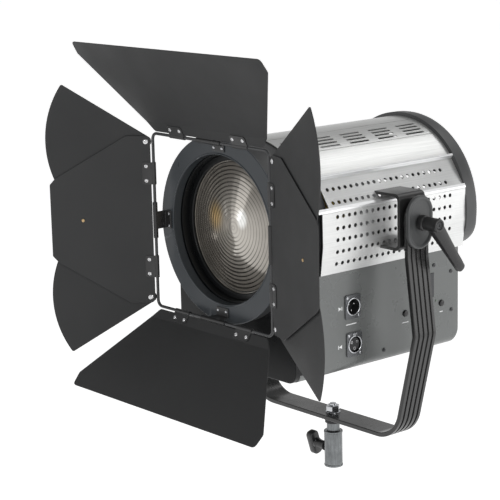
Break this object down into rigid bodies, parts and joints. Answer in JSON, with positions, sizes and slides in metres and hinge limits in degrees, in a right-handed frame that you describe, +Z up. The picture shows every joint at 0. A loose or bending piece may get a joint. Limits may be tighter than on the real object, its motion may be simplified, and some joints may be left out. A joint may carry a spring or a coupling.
{
  "type": "fresnel spotlight with barn doors",
  "caption": "LED Fresnel spotlight with a turning four-leaf barn door, folding wings, moving focus carriage, tilting yoke and a clamped socket for a stand spigot.",
  "frame": {"origin": "centre of the stand socket's lower mouth", "axes": "+Z up along the stand socket, the lens looks along -Y, +X is the side with the sockets, window and tilt lever"},
  "size_m": [0.4616, 0.4656, 0.5834],
  "materials": {
    "yoke_paint": "satin black",
    "cap_plastic": "dark grey moulded",
    "washer_black": "matt black fibre",
    "zinc": "zinc plated, turned",
    "chrome_bolt": "bright plated",
    "knob_plastic": "moulded, fine grain",
    "casting": "dark grey, fine texture",
    "lens_glass": "stepped lens glass",
    "retainer": "dark anodised",
    "shell_aluminium": "brushed",
    "panel_aluminium": "brushed, perforated",
    "housing_paint": "mid grey, fine texture",
    "cap_casting": "dark grey casting",
    "bracket_paint": "satin black",
    "steel": "plain",
    "nickel": "satin nickel",
    "window": "tinted window",
    "screw_steel": "zinc plated",
    "psu_steel": "galvanised",
    "board": "solder mask",
    "led": "phosphor in a white reflector ring",
    "sink_aluminium": "extruded",
    "fan_plastic": "moulded",
    "button_plastic": "moulded",
    "ring_paint": "dark blue grey",
    "frame_steel": "black wire",
    "rivet": "bright plated",
    "leaf_paint": "matt charcoal, fine texture",
    "clip_paint": "satin black"
  },
  "bodies": {
    "yoke": {"yoke_bar": "yoke_paint", "arm_caps": "cap_plastic", "friction_washers": "washer_black", "stand_receiver": "zinc", "receiver_bolt": "chrome_bolt", "receiver_nut": "chrome_bolt", "receiver_washer": "washer_black"},
    "receiver_knob": {"receiver_knob": "knob_plastic"},
    "head": {"front_casting": "casting", "lens": "lens_glass", "lens_retainer": "retainer", "top_shell": "shell_aluminium", "side_panels": "panel_aluminium", "shell_rails": "shell_aluminium", "lower_housing": "housing_paint", "rear_cap": "cap_casting", "rear_panel": "cap_casting", "tilt_brackets": "bracket_paint", "pivot_bolts": "steel", "pivot_nut": "knob_plastic", "dmx_connectors": "nickel", "display_window": "window", "housing_screws": "screw_steel", "guide_rods": "steel", "power_supply": "psu_steel", "control_board": "board", "mains_fittings": "button_plastic"},
    "tilt_lever": {"tilt_lever": "knob_plastic", "lever_screw": "screw_steel"},
    "focus_screw": {"focus_knob": "knob_plastic", "lead_screw": "steel"},
    "carriage": {"led_carriage": "sink_aluminium", "led_module": "led", "heatsink": "sink_aluminium", "fan_frame": "fan_plastic"},
    "fan": {"fan_rotor": "fan_plastic"},
    "menu_button": {"menu_button": "button_plastic"},
    "set_button": {"set_button": "button_plastic"},
    "power_switch": {"power_switch": "button_plastic"},
    "barndoor": {"barndoor_ring": "ring_paint", "barndoor_tabs": "clip_paint", "barndoor_frame": "frame_steel", "tab_rivets": "rivet"},
    "door_top": {"door_top": "leaf_paint", "door_top_clips": "clip_paint", "door_top_rivets": "rivet"},
    "door_bottom": {"door_bottom": "leaf_paint", "door_bottom_clips": "clip_paint", "door_bottom_rivets": "rivet"},
    "door_left": {"door_left": "leaf_paint", "door_left_clips": "clip_paint", "door_left_rivets": "rivet"},
    "door_right": {"door_right": "leaf_paint", "door_right_clips": "clip_paint", "door_right_rivets": "rivet"},
    "wing_left_upper": {"wing_left_upper": "leaf_paint"},
    "wing_left_lower": {"wing_left_lower": "leaf_paint"},
    "wing_right_upper": {"wing_right_upper": "leaf_paint"},
    "wing_right_lower": {"wing_right_lower": "leaf_paint"}
  },
  "joints": [
    {"name": "head_tilt", "type": "hinge", "parent": "yoke", "child": "head", "pos_m": [0, 0, 0.357], "axis": [-1, 0, 0], "range_deg": [-35, 90]},
    {"name": "tilt_lever_turn", "type": "hinge", "parent": "head", "child": "tilt_lever", "pos_m": [0.18, 0, 0.357], "axis": [1, 0, 0], "range_deg": [-90, 90]},
    {"name": "receiver_knob_turn", "type": "hinge", "parent": "yoke", "child": "receiver_knob", "pos_m": [-0.03, 0, 0.024], "axis": [1, 0, 0], "range_deg": [-180, 180]},
    {"name": "focus_knob_turn", "type": "hinge", "parent": "head", "child": "focus_screw", "pos_m": [0, 0.15, 0.315], "axis": [0, 1, 0], "range_deg": [-406, 406]},
    {"name": "focus_slide", "type": "slide", "parent": "head", "child": "carriage", "axis": [0, 1, 0], "range_m": [-0.045, 0.045]},
    {"name": "fan_spin", "type": "hinge", "parent": "carriage", "child": "fan", "pos_m": [0, 0.035, 0.364], "axis": [0, 1, 0], "continuous": true},
    {"name": "menu_button_press", "type": "slide", "parent": "head", "child": "menu_button", "axis": [-1, 0, 0], "range_m": [0, 0.0012], "stiffness_N_per_m": 300},
    {"name": "set_button_press", "type": "slide", "parent": "head", "child": "set_button", "axis": [-1, 0, 0], "range_m": [0, 0.0012], "stiffness_N_per_m": 300},
    {"name": "power_switch_rock", "type": "hinge", "parent": "head", "child": "power_switch", "pos_m": [0.06, 0.121, 0.227], "axis": [1, 0, 0], "range_deg": [0, 16]},
    {"name": "barndoor_turn", "type": "hinge", "parent": "head", "child": "barndoor", "pos_m": [0, -0.202, 0.352], "axis": [0, 1, 0], "continuous": true},
    {"name": "door_top_swing", "type": "hinge", "parent": "barndoor", "child": "door_top", "pos_m": [0, -0.202, 0.465], "axis": [-1, 0, 0], "range_deg": [-106.5, 31]},
    {"name": "door_bottom_swing", "type": "hinge", "parent": "barndoor", "child": "door_bottom", "pos_m": [0, -0.202, 0.239], "axis": [1, 0, 0], "range_deg": [-95.5, 42]},
    {"name": "door_left_swing", "type": "hinge", "parent": "barndoor", "child": "door_left", "pos_m": [-0.113, -0.202, 0.352], "axis": [0, 0, 1], "range_deg": [-45, 89.5]},
    {"name": "door_right_swing", "type": "hinge", "parent": "barndoor", "child": "door_right", "pos_m": [0.113, -0.202, 0.352], "axis": [0, 0, -1], "range_deg": [-18, 116.5]},
    {"name": "wing_left_upper_fold", "type": "hinge", "parent": "door_left", "child": "wing_left_upper", "pos_m": [-0.12106, -0.20723, 0.454], "axis": [-0.7071, 0.7071, 0], "range_deg": [-50, 12]},
    {"name": "wing_left_lower_fold", "type": "hinge", "parent": "door_left", "child": "wing_left_lower", "pos_m": [-0.12106, -0.20723, 0.25], "axis": [0.7071, -0.7071, 0], "range_deg": [-50, 12]},
    {"name": "wing_right_upper_fold", "type": "hinge", "parent": "door_right", "child": "wing_right_upper", "pos_m": [0.12256, -0.203, 0.454], "axis": [-0.309, -0.9511, 0], "range_deg": [-50, 12]},
    {"name": "wing_right_lower_fold", "type": "hinge", "parent": "door_right", "child": "wing_right_lower", "pos_m": [0.12256, -0.203, 0.25], "axis": [0.309, 0.9511, 0], "range_deg": [-50, 12]}
  ],
  "couplings": [
    {"joint": "focus_knob_turn", "follows": "focus_slide", "rad_per_m": 157.08}
  ]
}
